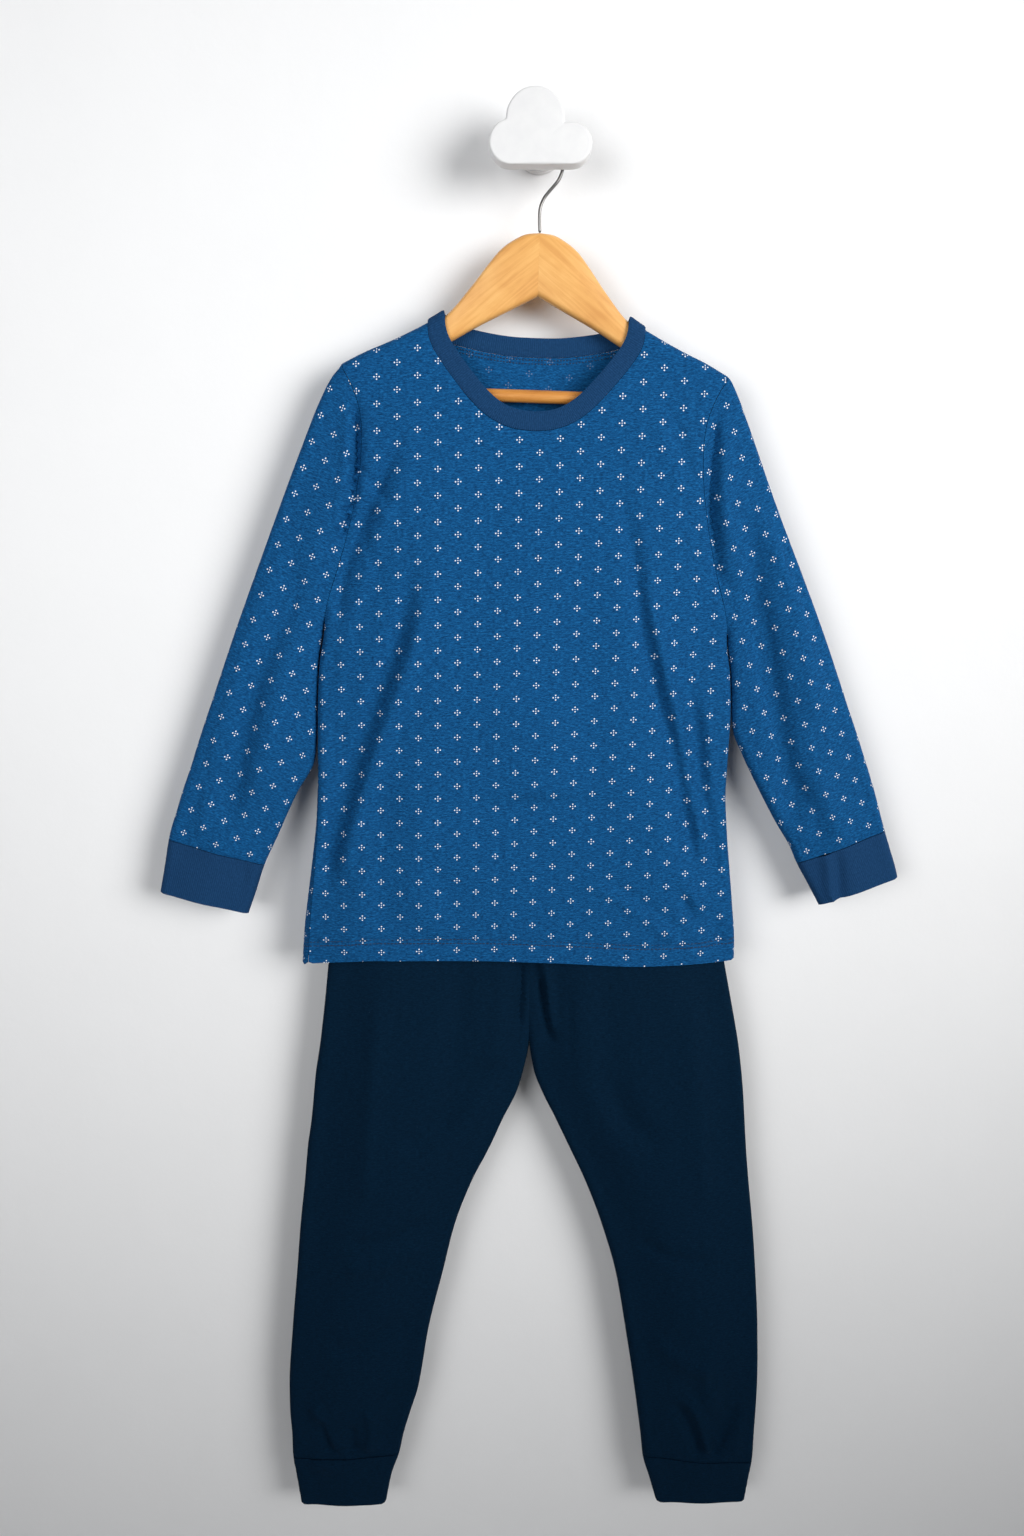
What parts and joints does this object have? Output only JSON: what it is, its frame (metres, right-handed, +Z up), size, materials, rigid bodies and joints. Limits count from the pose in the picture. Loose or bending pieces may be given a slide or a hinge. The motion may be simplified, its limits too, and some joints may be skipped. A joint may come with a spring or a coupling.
{
  "type": "pyjama set on a hanger and wall hook",
  "caption": "Long-sleeved pyjama top and cuffed trousers hanging from a wooden hanger with a wire hook on a cloud-shaped wall hook.",
  "frame": {"origin": "centre of the wall hook's flat back face, which lies on the wall", "axes": "+Z up, +Y into the wall, so the set is seen from -Y, and +X to the viewer's right"},
  "size_m": [0.6076, 0.05, 1.1888],
  "materials": {
    "blue_jersey": "soft heathered cotton jersey with small white dot crosses",
    "blue_rib": "matt cotton rib",
    "navy_jersey": "matt cotton jersey",
    "hanger_wood": "satin varnish",
    "bar_wood": "satin varnish",
    "hook_wire": "bright wire",
    "white_paint": "satin white"
  },
  "bodies": {
    "root": {"top_front": "blue_jersey", "top_back": "blue_jersey", "neck_rib": "blue_rib", "sleeve_left": "blue_jersey", "sleeve_right": "blue_jersey", "sleeve_cuff_left": "blue_rib", "sleeve_cuff_right": "blue_rib", "trouser_leg_left": "navy_jersey", "trouser_leg_right": "navy_jersey", "waistband": "navy_jersey", "ankle_cuff_left": "navy_jersey", "ankle_cuff_right": "navy_jersey", "hanger_arm_left": "hanger_wood", "hanger_arm_right": "hanger_wood", "hanger_bar": "bar_wood", "hanger_hook": "hook_wire", "wall_hook_base": "white_paint", "cloud_plate": "white_paint"}
  },
  "joints": []
}
